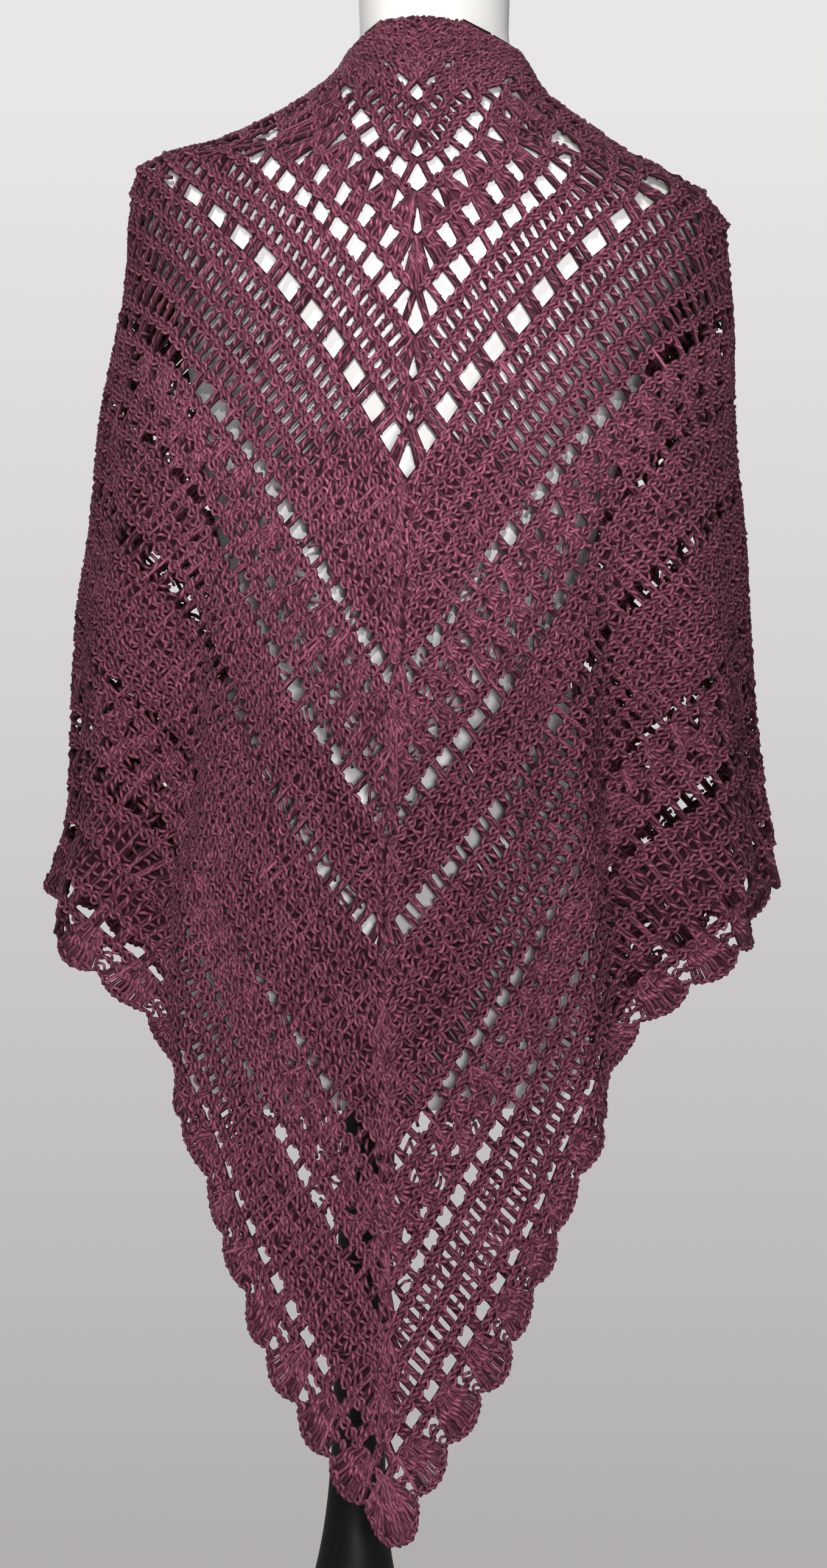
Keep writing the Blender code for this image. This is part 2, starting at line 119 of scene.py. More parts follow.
ROWS = np.array((
    # row, spine, t10, t20, t30, t40, side, t60, t70, t85, end turn
    (0.0, 0.001, 0.003, 0.006, 0.011, 0.016, 0.021, 0.026, 0.034, 0.050, 0.16),
    (4.0, 0.068, 0.041, 0.030, 0.027, 0.026, 0.028, 0.032, 0.042, 0.062, 0.64),
    (7.0, 0.136, 0.088, 0.061, 0.048, 0.043, 0.042, 0.048, 0.066, 0.105, 0.72),
    (10.0, 0.242, 0.163, 0.114, 0.090, 0.080, 0.077, 0.085, 0.112, 0.170, 0.77),
    (13.0, 0.347, 0.245, 0.177, 0.135, 0.112, 0.103, 0.118, 0.160, 0.240, 0.80),
    (18.0, 0.508, 0.398, 0.308, 0.256, 0.234, 0.226, 0.238, 0.280, 0.370, 0.82),
    (21.0, 0.609, 0.505, 0.392, 0.322, 0.296, 0.286, 0.297, 0.340, 0.440, 0.83),
    (24.0, 0.695, 0.590, 0.482, 0.402, 0.367, 0.352, 0.358, 0.400, 0.510, 0.84),
    (29.0, 0.862, 0.728, 0.600, 0.502, 0.465, 0.452, 0.462, 0.505, 0.620, 0.85),
    (32.0, 0.962, 0.816, 0.672, 0.578, 0.545, 0.528, 0.530, 0.572, 0.695, 0.855),
    (35.0, 1.074, 0.935, 0.772, 0.672, 0.632, 0.606, 0.600, 0.638, 0.760, 0.86),
    (36.5, 1.123, 0.985, 0.805, 0.702, 0.668, 0.638, 0.630, 0.668, 0.788, 0.86),
))
FOLDS = (
    # side, turn at start, turn at hem, half width, reach, start drop, full drop
    (-1, 0.150, 0.162, 0.030, -0.009, 0.30, 0.55),
    (-1, 0.215, 0.240, 0.042, -0.030, 0.26, 0.58),
    (-1, 0.300, 0.320, 0.060, 0.012, 0.25, 0.50),
    (-1, 0.420, 0.430, 0.045, -0.012, 0.35, 0.60),
    (-1, 0.580, 0.575, 0.045, -0.014, 0.25, 0.55),
    (-1, 0.680, 0.670, 0.045, 0.014, 0.25, 0.55),
    (-1, 0.770, 0.765, 0.040, -0.012, 0.30, 0.60),
    (1, 0.140, 0.150, 0.028, -0.008, 0.30, 0.55),
    (1, 0.215, 0.232, 0.040, -0.034, 0.26, 0.58),
    (1, 0.300, 0.315, 0.060, 0.014, 0.25, 0.50),
    (1, 0.430, 0.425, 0.045, -0.010, 0.35, 0.60),
    (1, 0.590, 0.585, 0.045, -0.014, 0.25, 0.55),
    (1, 0.685, 0.680, 0.045, 0.014, 0.25, 0.55),
    (1, 0.770, 0.765, 0.040, -0.012, 0.30, 0.60),
)
print(len(SECTIONS), "ovals,", len(ROWS), "placed rows and", len(FOLDS), "folds")

# %% [markdown]
# A smooth curve through the tables' rows must never swing past them, or the cloth would ripple
# between two drops. Cubics whose slopes are weighted harmonic means of the straight slopes beside
# them keep that promise, and need only numpy.

# %% A smooth curve through a table
def slopes(x, y):
    """Slopes at the points: weighted harmonic means of those beside them, 0 at a turning point."""
    step = np.diff(x)[:, None]
    straight = np.diff(y, axis=0) / step
    before, after = 2 * step[1:] + step[:-1], step[1:] + 2 * step[:-1]
    alike = straight[:-1] * straight[1:] > 0
    first, last = np.where(alike[None], (straight[:-1], straight[1:]), 1.0)
    slope = np.zeros_like(y)
    slope[1:-1] = np.where(alike, (before + after) / (before / first + after / last), 0)
    slope[0], slope[-1] = straight[0], straight[-1]
    return slope


def smooth(x, y, at):
    """Columns of y at places: cubics whose ends and end slopes are those of the table's rows."""
    at = np.clip(at, x[0], x[-1])
    slope = slopes(x, y)
    i = np.clip(np.searchsorted(x, at, side="right") - 1, 0, len(x) - 2)
    step = (x[i + 1] - x[i])[..., None]
    t = (at - x[i])[..., None] / step
    rise = slope[i] * step * t * (1 - t) ** 2 - slope[i + 1] * step * t * t * (1 - t)
    return y[i] + (y[i + 1] - y[i]) * t * t * (3 - 2 * t) + rise


# %% [markdown]
# The surface is then a function of two numbers, turn and drop. Its normal comes from the cross
# product of its two slopes, each taken over a very small step.

# %% The cloth's surface and its outward normal
def fold_reach(side, turn, drop):
    """How far the folds move the cloth out: a sum of round bumps that deepen between two drops."""
    out = np.zeros(np.broadcast(turn, drop).shape)
    for fold_side, first, last, width, reach, start, full in FOLDS:
        if fold_side == side:
            deep = np.clip((drop - start) / (full - start), 0, 1)
            middle = first + (last - first) * deep
            bump = np.exp(-(((turn - middle) / width) ** 2))
            out += reach * deep * deep * (3 - 2 * deep) * bump
    return out


def cloth(side, turn, drop):
    """Points of the solids' outer face: an oval's sine and cosine, its folds, and the drop."""
    section = smooth(SECTIONS[:, 0], SECTIONS[:, 1:], drop)
    left, right, spine, back, front = np.moveaxis(section, -1, 0)
    angle = np.pi * turn
    reach = fold_reach(side, turn, drop)
    middle, half = (left + right) / 2, (right - left) / 2
    aside = (spine - middle) * np.where(turn < 0.5, np.cos(angle) ** 2, 0)
    depth = np.where(turn < 0.5, back, front)
    x = middle + aside + side * (half + reach) * np.sin(angle)
    y = -(depth + reach) * np.cos(angle)
    return np.stack([x, y, NECK_EDGE_Z - drop], axis=-1)


def unit(vectors):
    """Vectors divided by their own lengths."""
    return vectors / np.maximum(np.linalg.norm(vectors, axis=-1, keepdims=True), 1e-12)


def outward(side, turn, drop, step=1e-4):
    """Unit normals away from the form: the cross product of the slopes down and along the ovals."""
    point = cloth(side, turn, drop)
    along = cloth(side, turn + step, drop) - point
    along[turn == 0] = (side * step, 0, 0)
    down = cloth(side, turn, drop + step) - point
    return unit(side * np.cross(down, along))


middle_back = cloth(1, np.array([0.0]), np.array([0.5]))[0]
print("the middle of the back, half a metre down, is at", middle_back.round(3))

# %% [markdown]
# ## Rows as lines
#
# A worked row is one line over the surface. It is kept as close points, measured by length from
# the front edge, because stitches are all as wide as each other wherever the row goes. Each
# stitch also has a *foot* in the row above it: the nearest point there. At the spine many feet
# meet in one point, and the stitches fan out of it, just as increases do in the real shawl.
#
# No worked row is quite even. Slow sines make it waver up and down and bulge in and out. They
# share no period on the cloth, so the eye finds no repeat.

# %% Row lines
LINE_POINTS = 420
WAVER = 0.0011  # how far a row wavers up and down
BULGE = 0.0009  # how far one sine moves the cloth in and out
WAVES = np.array(((61, 1.9), (0, 0.83), (47, 0.55), (29, -0.37)))  # radians a turn and a row
line_store, foot_store = {}, {}
wobble = np.random.default_rng(7).uniform(0, 2 * np.pi, (2, 12))


def lengths_along(points):
    """The length of a path up to each of its points: the sum of the steps before it."""
    return np.append(0, np.cumsum(np.linalg.norm(np.diff(points, axis=0), axis=1)))


def row_line(side, row):
    """One row from its front end to the spine: points, normals and the length up to each point."""
    if (side, row) in line_store:
        return line_store[side, row]
    at = smooth(ROWS[:, 0], ROWS[:, 1:], np.array([row - ROW_SHIFTS.get(row, 0.0)]))[0]
    turn = np.linspace(at[-1], 0, LINE_POINTS)
    drop = smooth(ROW_TURNS, at[:-1, None], turn)[:, 0]
    phase = wobble[int(side > 0)]
    by_turn, by_row = WAVES.T[:, :, None]
    waves = np.sin(turn * by_turn + row * by_row + phase[:4, None])
    fade = np.clip(turn / 0.03, 0, 1) * min(row / 4, 1)  # none at the spine and the neck edge
    drop = drop + WAVER * fade * waves[0] * waves[1]
    points = cloth(side, turn, drop)
    normals = outward(side, turn, drop)
    bulge = BULGE * (waves[2] + waves[3]) * min(row / 12, 1)
    points = points + normals * (MIDDLE_OF_CLOTH + bulge)[:, None]
    ruffle = max(0.0, row - LAST_ROW) / (HEM_ROW - LAST_ROW) * RUFFLE
    swing = np.sin(np.pi * lengths_along(points) / SHELL_UNIT + phase[4])
    points = points + normals * (ruffle * swing)[:, None]
    line_store[side, row] = (points, normals, lengths_along(points))
    return line_store[side, row]


def place(line, at):
    """Points and normals of a row line at lengths from its front end."""
    points, normals, length = line
    spot = np.stack([np.interp(at, length, points[:, i]) for i in range(3)], axis=-1)
    return spot, unit(np.stack([np.interp(at, length, normals[:, i]) for i in range(3)], axis=-1))


def row_length(side, row):
    """The length of one half of a row."""
    return row_line(side, row)[2][-1]


for row in (4, 13, 24, 35):
    print("row", row, "is", round(row_length(-1, row), 3), "m on the left")

# %% [markdown]
# The nearest points alone would crowd where a row bends. So each foot leans a little towards the
# *upright* place, which is as far from the spine as the stitch's own top, and the feet's lengths
# are smoothed along the row. A running maximum keeps them in order.

# %% The feet of the stitches
LEAN_AT_SPINE, LEAN_MORE = 0.05, 0.22  # the shares of upright in a foot's place
LEAN_RISES, LEAN_FADES = 0.1, 0.22  # over these distances from the spine
SMOOTHED_POINTS = 19  # an odd number of a row line's points


def feet(side, above, row, at):
    """Lengths on the row above of the stitches' feet: the nearest points, leaning to upright."""
    if (side, above, row) not in foot_store:
        upper, lower = row_line(side, above), row_line(side, row)
        gap = ((lower[0][:, None] - upper[0][None]) ** 2).sum(-1)
        nearest = upper[2][gap.argmin(1)]
        to_spine = lower[2][-1] - lower[2]
        upright = np.clip(upper[2][-1] - to_spine, 0, None)
        lean = LEAN_AT_SPINE + LEAN_MORE * np.clip(to_spine / LEAN_RISES, 0, 1)
        lean = lean * np.exp(-((to_spine / LEAN_FADES) ** 2))
        mixed = nearest * (1 - lean) + upright * lean
        kernel = np.hanning(SMOOTHED_POINTS)
        padded = np.pad(mixed, SMOOTHED_POINTS // 2, mode="edge")
        mixed = np.convolve(padded, kernel / kernel.sum(), "valid")
        foot_store[side, above, row] = np.maximum.accumulate(mixed)
    return np.interp(at, row_line(side, row)[2], foot_store[side, above, row])


# %% [markdown]
# ## Yarn
#
# Every strand is a tube: a ring of a few points carried along a path. All the tubes of one kind
# are computed in one array of shape (strands, points along, points round, 3). Each corner gets a
# UV of (turn round the yarn, plies along it), so the material can twist the plies, and each
# strand gets its own tone, because real yarn is never one even colour.

# %% Tubes from arrays of paths
SIDES = 4


def ring_quads(index):
    """Quads between rings that follow each other, from point numbers (strands, rings, round)."""
    after = np.roll(index, -1, axis=2)
    quads = np.stack([index[:, :-1], after[:, :-1], after[:, 1:], index[:, 1:]], axis=-1)
    return quads.reshape(-1, 4)


def tubes(centres, guide, radius, height, random):
    """Tubes round paths: each ring lies across its path, turned by the guide vectors.

    centres and guide have the shape (strands, points, 3). radius and height, which is how far the
    path lies out of the cloth, have one number for each point. The answer is (points, quads, their
    UVs, end caps, a tone and a height for each point).
    """
    strands, points = centres.shape[:2]
    ahead = unit(np.gradient(centres, axis=1))
    across = unit(np.cross(ahead, guide))
    up = np.cross(across, ahead)
    angle = (np.arange(SIDES) + 0.5) * 2 * np.pi / SIDES
    ring = np.cos(angle)[:, None] * up[:, :, None]
    ring = ring + np.sin(angle)[:, None] * across[:, :, None]
    thick = np.broadcast_to(radius, (strands, points))[:, :, None]
    corners = centres[:, :, None] + ring * thick[..., None]
    # each corner's height off the cloth's middle, by which the material paints shade on deep yarn
    tall = np.broadcast_to(height, (strands, points))[:, :, None] + np.cos(angle) * thick
    index = np.arange(strands * points * SIDES).reshape(strands, points, SIDES)
    steps = np.linalg.norm(np.diff(centres, axis=1), axis=-1)
    along = np.concatenate([np.zeros((strands, 1)), np.cumsum(steps, axis=1)], axis=1)
    along = along / PLY_LENGTH + random.uniform(0, 1, (strands, 1))
    # the turn round the yarn in the UV also lets the material paint shade on a strand's flanks
    u = np.arange(SIDES + 1) / SIDES
    uv = np.empty((strands, points - 1, SIDES, 4, 2))
    uv[..., 0, 0] = uv[..., 3, 0] = u[:-1]
    uv[..., 1, 0] = uv[..., 2, 0] = u[1:]
    uv[..., 0, 1] = uv[..., 1, 1] = along[:, :-1, None]
    uv[..., 2, 1] = uv[..., 3, 1] = along[:, 1:, None]
    caps = np.concatenate([index[:, 0, ::-1], index[:, -1]])
    tone = np.repeat(random.uniform(0, 1, strands), points * SIDES)
    return corners.reshape(-1, 3), ring_quads(index), uv.reshape(-1, 2), caps, tone, tall.ravel()


# %% [markdown]
# Thousands of strands make one mesh, because an object for each would slow Blender down. The
# arrays go into the mesh whole, and the tone and height go with them as attributes of its points.

# %% A piece from parts
def new_piece(name, mesh, slot, *nodes):
    """An object for a mesh, which rides on the part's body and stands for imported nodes."""
    piece = bpy.data.objects.new(name, mesh)
    bpy.context.scene.collection.objects.link(piece)
    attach(piece, "root")
    if nodes:
        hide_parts(*nodes)
    return piece


def yarn_piece(name, parts, *nodes):
    """Joins parts of (points, quads, UVs, caps, tone, height) into one smooth mesh object."""
    starts = np.cumsum([0] + [len(part[0]) for part in parts])
    corners, sizes, uvs = [], [], []
    for start, (_, quads, uv, caps, _, _) in zip(starts, parts):
        corners += [(quads + start).ravel(), (caps + start).ravel()]
        sizes.append(np.full(len(quads) + len(caps), 4))
        # caps get UVs of 0, which the material paints with the flanks' painted shade
        uvs += [uv, np.zeros((caps.size, 2))]
    points = np.concatenate([part[0] for part in parts]).astype(np.float32)
    corners, sizes = np.concatenate(corners).astype(np.int32), np.concatenate(sizes)
    mesh = bpy.data.meshes.new(name)
    mesh.vertices.add(len(points))
    mesh.vertices.foreach_set("co", points.ravel())
    mesh.loops.add(len(corners))
    mesh.loops.foreach_set("vertex_index", corners)
    mesh.polygons.add(len(sizes))
    first_corners = np.append(0, np.cumsum(sizes)[:-1]).astype(np.int32)
    mesh.polygons.foreach_set("loop_start", first_corners)
    mesh.update(calc_edges=True)
    layer = mesh.uv_layers.new(name="yarn")
    layer.data.foreach_set("uv", np.concatenate(uvs).astype(np.float32).ravel())
    for place_in_part, label in ((4, "tone"), (5, "height")):
        values = np.concatenate([part[place_in_part] for part in parts]).astype(np.float32)
        mesh.attributes.new(label, "FLOAT", "POINT").data.foreach_set("value", values)
    mesh.shade_smooth()
    print(name, "has", int((sizes - 2).sum()), "triangles")
    return new_piece(name, mesh, "shawl_yarn", *nodes)


# %% [markdown]
# ## Stitches
#
# A double crochet shows as a post of two strands side by side with a third that wraps over them,
# from the row above to the row's own chain. The chain runs along the top of every row, and each
# stitch throws a loop over it on both sides. Fans, mesh and shells differ only in where their
# posts start and end, so one function makes every post in the shawl.

# %% Where posts stand
def post_lines(side, above, row, base, top, rise=1.0):
    """Starts, ends, unit normals and sideways vectors of posts.

    base and top are lengths along this row. A base goes to its foot in the row above. rise says how
    far towards this row's line a top goes, as in a scallop.
    """
    start, start_normal = place(row_line(side, above), feet(side, above, row, base))
    end, end_normal = place(row_line(side, row), top)
    end = start + (end - start) * np.reshape(rise, (-1, 1))
    normal = unit(start_normal + end_normal)
    return start, end, normal, unit(np.cross(normal, unit(end - start)))


# %% Posts
MM = 0.001
POST_SPREAD = 0.00128  # half the way between a post's two strands
POST_PLACES = np.array([-0.08, 0.28, 0.70, 1.04])  # shares of the way from the foot
WRAP_PLACES = np.array([-0.16, 0.0, 0.16])  # the wrap climbs as it crosses the post
WRAP_ACROSS = np.array([-2.2, 0.0, 2.2]) * MM
WRAP_OUT = np.array([-0.3, 2.1, -0.3]) * MM


def posts(side, above, row, base, top, random, rise=1.0, plump=1.0):
    """Two strands beside each other along a straight line, and a short one slanting over them."""
    start, end, normal, sideways = post_lines(side, above, row, base, top, rise)
    count = len(base)
    along = start[:, None] + (end - start)[:, None] * POST_PLACES[None, :, None]
    guide = np.broadcast_to(normal[:, None], along.shape)
    radius = YARN_RADIUS * plump * random.uniform(0.92, 1.08, (count, 1))
    parts = []
    for strand in (-1, 1):
        x = strand * POST_SPREAD * random.uniform(0.75, 1.15, (count, len(POST_PLACES)))
        x = x + random.normal(0, 0.3 * MM, (count, 1))
        height = random.normal(0, 0.4 * MM, x.shape)
        height = height + strand * random.normal(0, 0.5 * MM, (count, 1))
        path = along + sideways[:, None] * x[..., None] + normal[:, None] * height[..., None]
        parts.append(tubes(path, guide, radius, height, random))
    t = WRAP_PLACES * random.uniform(0.7, 1.3, (count, 1))
    t = t + random.uniform(0.36, 0.62, (count, 1))
    x = WRAP_ACROSS * random.uniform(0.85, 1.1, (count, 1))
    height = np.broadcast_to(WRAP_OUT, x.shape)
    path = start[:, None] + (end - start)[:, None] * t[..., None]
    path = path + sideways[:, None] * x[..., None] + normal[:, None] * height[..., None]
    parts.append(tubes(path, guide[:, :len(WRAP_PLACES)], radius * 0.95, height, random))
    return parts


# %% [markdown]
# Chains, loops and tangles all lie near one row. They are drawn in a small frame at each stitch:
# along the row, down the posts, and out of the cloth.

# %% Frames at stitches, and short strands in them
HALF_STEP = 0.5 * MM  # a row's direction is taken over two of these


def frames(side, above, row, at, rise=1.0):
    """Places at a share of the posts' height, and unit vectors along, down and out of the cloth."""
    start, end, normal, _ = post_lines(side, above, row, at, at, rise)
    line = row_line(side, row)
    ahead = place(line, at + HALF_STEP)[0] - place(line, at - HALF_STEP)[0]
    return end, unit(ahead), unit(end - start), normal


def strands(stitch_frames, u, v, height, random, plump=1.0):
    """Short tubes in stitch frames, from their three coordinates at each point of their paths."""
    spot, along, down, normal = (part[:, None] for part in stitch_frames)
    path = spot + along * u[..., None] + down * v[..., None] + normal * height[..., None]
    radius = YARN_RADIUS * plump * random.uniform(0.9, 1.08, (len(u), 1))
    return tubes(path, np.broadcast_to(normal, path.shape), radius, height, random)


# %% Loops and tangles
LOOP_ALONG = np.array([-0.46, -0.16, 0.16, 0.46]) * STITCH
LOOP_REACH_SHARES = np.array([0.25, 0.95, 1.0, 0.35])
LOOP_OUT = np.array([0.2, 1.5, 1.3, -0.6]) * MM
TANGLE_OUT = np.array([-1.0, 1.5, -1.0]) * MM
TANGLE_HALF = (4.3 * MM, 6.2 * MM)  # half the shortest and half the longest of these strands
ENDS, MIDDLE_POINT = np.array([-1, 0, 1]), np.array([0, 1, 0])


def loops(side, above, row, at, reach, random, rise=1.0):
    """Arcs thrown over the chain: up a side, round at the reach, and down again further on."""
    u = LOOP_ALONG * random.uniform(0.85, 1.1, (len(at), 1))
    u = u + random.normal(0, 0.6 * MM, (len(at), 1))
    v = LOOP_REACH_SHARES * reach * random.uniform(0.75, 1.15, u.shape)
    height = LOOP_OUT + random.normal(0, 0.3 * MM, u.shape)
    if reach < 0:
        u = u[:, ::-1]
    return strands(frames(side, above, row, at, rise), u, v, height, random, 0.97)


def tangle(side, above, row, at, rise, random):
    """Short arcs along the row, slanted a little, where a space between two posts has closed up."""
    slant = random.normal(0.15, 0.5, (len(at), 1))
    reach = random.uniform(*TANGLE_HALF, (len(at), 1)) * ENDS
    bow = random.normal(0, MM, (len(at), 1)) * MIDDLE_POINT
    u = reach * np.cos(slant) - bow * np.sin(slant)
    v = reach * np.sin(slant) + bow * np.cos(slant)
    height = TANGLE_OUT * random.uniform(0.6, 1.2, (len(at), 1))
    return strands(frames(side, above, row, at, rise), u, v, height, random)


# %% [markdown]
# A crocheted chain looks like two strands wound round each other. They swing across the row by a
# cosine and out of the cloth by a sine, half a turn apart. A slow random slip keeps the turns of
# neighbouring rows from lining up.

# %% Chains
CHAIN_STEP = STITCH / 2.6
CHAIN_TURN = 1.3 * STITCH
CHAIN_WIND = 1.5 * MM  # from the chain's middle line to the middle of each strand
SLIPS = 15


def wound(spot, normal, length, turn_length, wind, random, slip=0.0):
    """Two strands round a path, each moved by a cosine across it and a sine out of the cloth."""
    across = unit(np.cross(normal, unit(np.gradient(spot, axis=0))))
    parts = []
    for strand in (0.0, 0.5):
        angle = 2 * np.pi * (length / turn_length + strand + slip)
        x, height = wind * np.cos(angle), wind * np.sin(angle)
        path = spot + across * x[:, None] + normal * height[:, None]
        parts.append(tubes(path[None], normal[None], YARN_RADIUS, height[None], random))
    return parts


def chain(side, above, row, start, stop, random, rise=None, wind=CHAIN_WIND):
    """A wound chain along a row's line, or at a share of the way to it from the row above."""
    steps = max(4, int((stop - start) / CHAIN_STEP))
    at = np.linspace(start, stop, steps + 1)
    spot, normal = place(row_line(side, row), at)
    if rise is not None:
        foot, _ = place(row_line(side, above), feet(side, above, row, at))
        spot = foot + (spot - foot) * rise(at)[:, None]
    slip = np.interp(at, np.linspace(start, stop, SLIPS), random.uniform(-0.3, 0.3, SLIPS))
    return wound(spot, normal, lengths_along(spot), CHAIN_TURN, wind, random, slip)


# %% [markdown]
# Worn, the cloth has closed up where it lies on the back and hangs in its own folds, and it stays
# open over the shoulder blades, down the right flap and at the lower hems. A short table of ovals
# says where. Each stitch there gets two or three short strands over the space beside its post. In
# the mesh and the tall rows only some of the spaces close, and the table's last column gives
# their share.

# %% Where the cloth has closed up
CLOSED = np.array((
    # x, z, half width, half height, share of the open rows' spaces that close
    (0.055, 0.925, 0.150, 0.125, 0.20),
    (0.020, 0.720, 0.100, 0.170, 0.20),
    (0.135, 0.905, 0.045, 0.110, 0.50),
    (0.000, 0.520, 0.070, 0.180, 0.40),
    (-0.170, 0.830, 0.070, 0.310, 0.80),
    (-0.035, 0.750, 0.080, 0.110, 0.60),
    (0.270, 0.960, 0.060, 0.130, 0.75),
    (0.285, 0.730, 0.060, 0.040, 0.20),
    (0.065, 1.335, 0.110, 0.032, 0.00),
    (-0.070, 1.282, 0.065, 0.022, 0.90),
    (0.210, 1.278, 0.070, 0.026, 0.90),
))
OVAL_END, OVAL_FADE = 1.15, 0.3  # an oval's closing ends at, and fades over, so many half widths
SIDES_START, SIDES_FADE, SIDES_SHUT = -0.065, 0.04, 0.8  # y where the sides begin to be closed
FAN_SPACES_SHUT = 0.75  # the least share that closes in the fan rows below the neck
HEM_SPACES_SHUT = 0.45  # and in the rows next to the edging


def closed(spot, weight=1.0):
    """How closed the cloth is at points: 1 well inside an oval, falling to 0 just outside it.

    The sides and the front of the cloth, which lie behind the ovals, have closed up as well.
    """
    aside = (spot[:, None, 0] - CLOSED[:, 0]) / CLOSED[:, 2]
    along = (spot[:, None, 2] - CLOSED[:, 1]) / CLOSED[:, 3]
    inside = np.clip((OVAL_END - np.hypot(aside, along)) / OVAL_FADE, 0, 1)
    behind = np.clip((spot[:, 1] - SIDES_START) / SIDES_FADE, 0, 1)
    return np.maximum((inside * weight).max(1), SIDES_SHUT * behind)


def shut_share(side, row, at):
    """The share of a row's spaces that close, at lengths along it, by place and kind of row."""
    spot = place(row_line(side, row), at)[0]
    if row in MESH_ROWS + TALL_ROWS:
        return closed(spot, CLOSED[:, 4])
    if row in FAN_ROWS + JOIN_ROWS:
        return np.maximum(0.9 * closed(spot), 0.0 if row < TALL_ROWS[0] else FAN_SPACES_SHUT)
    return np.maximum(closed(spot), HEM_SPACES_SHUT if row > MESH_ROWS[-1] else 0.0)


shut = shut_share(-1, 20, np.linspace(0, row_length(-1, 20), LINE_POINTS))
print("row 20 has closed up over", round(float(shut.mean()), 2), "of its left half")


# %% [markdown]
# Each kind of row repeats a unit along its length. The number of units is the row's length over
# the unit, rounded, so that the repeat always fits. Near the spine the upper rows leave a space,
# which shows as the column of pointed holes down the middle back.

# %% The kinds of rows
# Places are shares of a unit's width, from its middle.
FAN_FEET = np.array((-0.10, -0.05, 0.0, 0.05, 0.10))
FAN_TOPS = np.array((-0.41, -0.21, 0.0, 0.21, 0.41))
JOIN_POSTS = np.array((-1.5, -0.5, 0.5, 1.5))
JOIN_FOOT_STEP, JOIN_TOP_STEP = 0.10, 0.16
FIRST_JOIN, JOIN_SHIFT = 0.02, 0.48  # the joins lie between the fans, and one at the front edge
ARCH_PAIR = np.array((-0.1, 0.1))
SPINE_HOLE, SPINE_SEAM = 5.8 * MM, 2.0 * MM


def spine_space(row):
    """Half the space at the spine, wide in the upper rows and nearly closed further down."""
    return SPINE_HOLE if row in SPINE_HOLE_ROWS else SPINE_SEAM


def units(side, row, width):
    """Middles of the repeats along a row, and the width that makes them fit."""
    length = row_length(side, row) - spine_space(row)
    count = max(1, round(length / width))
    return (np.arange(count) + 0.5) * length / count, length / count


def spread_over(middle, width, shares):
    """Several places in each unit, at shares of its width."""
    return (middle[:, None] + shares * width).ravel()


def post_places(side, row):
    """Bases and tops of a row's posts, by the row's kind."""
    if row in MESH_ROWS:
        middle, _ = units(side, row, MESH_UNIT)
        return middle, middle
    if row in TALL_ROWS:
        middle, width = units(side, row, TALL_UNIT)
        at = spread_over(middle, width, np.array((-1, 1)) * TALL_PAIRS[row])
        return at, at
    if row == ARCH_ROW:
        middle, width = units(side, row, ARCH_UNIT)
        at = spread_over(middle, width, ARCH_PAIR)
        return at, at
    if row in FAN_ROWS:
        middle, width = units(side, row, FAN_UNIT)
        return spread_over(middle, width, FAN_FEET), spread_over(middle, width, FAN_TOPS)
    if row in JOIN_ROWS:
        middle, width = units(side, row, FAN_UNIT)
        joins = np.append(FIRST_JOIN * width, middle + JOIN_SHIFT * width)
        base = spread_over(joins, width, JOIN_FOOT_STEP * JOIN_POSTS)
        top = spread_over(joins, width, JOIN_TOP_STEP * JOIN_POSTS)
        inside = (base > 0) & (top < row_length(side, row))
        return base[inside], top[inside]
    middle, _ = units(side, row, STITCH)
    return middle, middle


for kind, row in (("mesh", 21), ("tall", 24), ("fan", 19), ("join", 20), ("plain", 22)):
    print("a", kind, "row,", row, "has", len(post_places(-1, row)[0]), "posts on the left")

# %% [markdown]
# One row is then its posts, its chain, the loops over the chain on both sides, and the short
# strands where spaces have closed. Loops beside the clear holes of the upper rows reach less far
# over them. A few more short strands cover the spine, where the two halves meet.

# %% One worked row
LOOP_REACH, NECK_LOOP_REACH, TALL_LOOP_REACH = 4.5 * MM, 3.8 * MM, 2.4 * MM
CHAIN_GAP = 0.5 * MM  # a row's chain ends this far before the spine
SPINE_COVER, SPINE_STRANDS = 4.5 * MM, 4


def loop_reach(row):
    """How far a loop reaches over a row's posts, by the kind of row."""
    if row == TALL_ROWS[0]:
        return TALL_LOOP_REACH
    return NECK_LOOP_REACH if row in OPEN_ROWS and row < TALL_ROWS[0] else LOOP_REACH


def worked_row(side, row, random):
    """The posts, chain, loops and tangles of one row."""
    base, top = post_places(side, row)
    parts = posts(side, row - 1, row, base, top, random)
    parts += chain(side, row - 1, row, 0, row_length(side, row) - CHAIN_GAP, random)
    middle, width = units(side, row, STITCH)
    for way, beside in ((-1, row), (1, row + 1)):
        reach = way * loop_reach(beside)
        parts.append(loops(side, row - 1, row, middle, reach, random))
    between = middle + width / 2
    share = shut_share(side, row, between)
    for rise in (0.36, 0.66) if row in BACK_ROWS else (0.25, 0.50, 0.75):
        shut = random.uniform(0, 1, len(between)) < share
        parts.append(tangle(side, row - 1, row, between[shut], rise, random))
    if row not in SPINE_HOLE_ROWS:
        at = row_length(side, row) - random.uniform(0, SPINE_COVER, SPINE_STRANDS)
        rise = random.uniform(0.15, 1.0, (SPINE_STRANDS, 1))
        parts.append(tangle(side, row - 1, row, at, rise, random))
    return parts


# %% [markdown]
# The edging is a round of arches under a row of shells. A shell is a fan of tall posts whose tops
# follow a round scallop. One chain crosses the fans halfway, and another runs over their tops as
# the hem.

# %% Arches and shells
SHELL_FAN = np.linspace(-0.46, 0.46, 11)
SHELL_FEET, SHELL_TOPS = 0.45 * SHELL_FAN, SHELL_FAN
SHELL_ROUNDNESS = 0.7  # a smaller power gives a rounder scallop
SHELL_LOOP, ARCH_LOOPS = -4.6 * MM, (4.8 * MM, -3.0 * MM)


